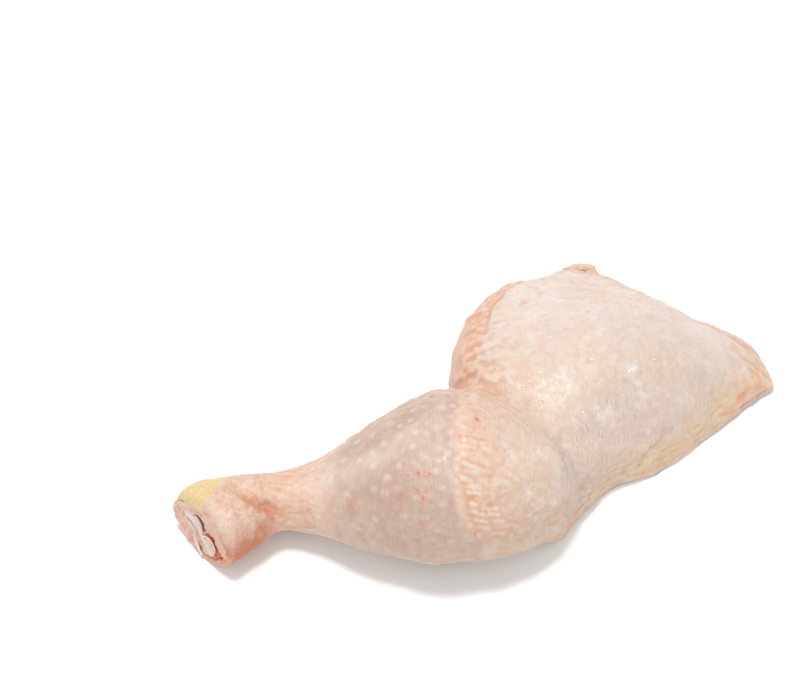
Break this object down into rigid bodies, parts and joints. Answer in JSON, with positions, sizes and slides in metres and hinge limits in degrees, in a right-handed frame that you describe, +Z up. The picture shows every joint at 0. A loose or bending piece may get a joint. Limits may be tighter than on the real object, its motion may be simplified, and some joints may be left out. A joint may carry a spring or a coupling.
{
  "type": "raw chicken leg quarter",
  "caption": "Raw chicken leg quarter lying skin side up: drumstick with a cut hock end, bent at the knee to a broad skin-covered thigh with bare muscle beneath.",
  "frame": {"origin": "centre of the bottom of the bounding box, on the surface the leg lies on", "axes": "+X from the cut hock end to the thin end of the thigh, +Y towards the pelvic corner of the thigh, +Z up, skin side up"},
  "size_m": [0.222, 0.1452, 0.0497],
  "materials": {
    "skin": "moist pale raw poultry skin with raised feather follicles, creamy over the thigh, pink at the hock",
    "bare_muscle": "wet raw muscle with a thin membrane",
    "bone_and_cartilage": "smooth moist cartilage, satin",
    "tendon": "pearly white, glossy"
  },
  "bodies": {
    "root": {"leg_quarter": "skin", "inner_meat": "bare_muscle", "shin_bone": "bone_and_cartilage", "thick_tendon": "tendon", "thin_tendon": "tendon"}
  },
  "joints": []
}
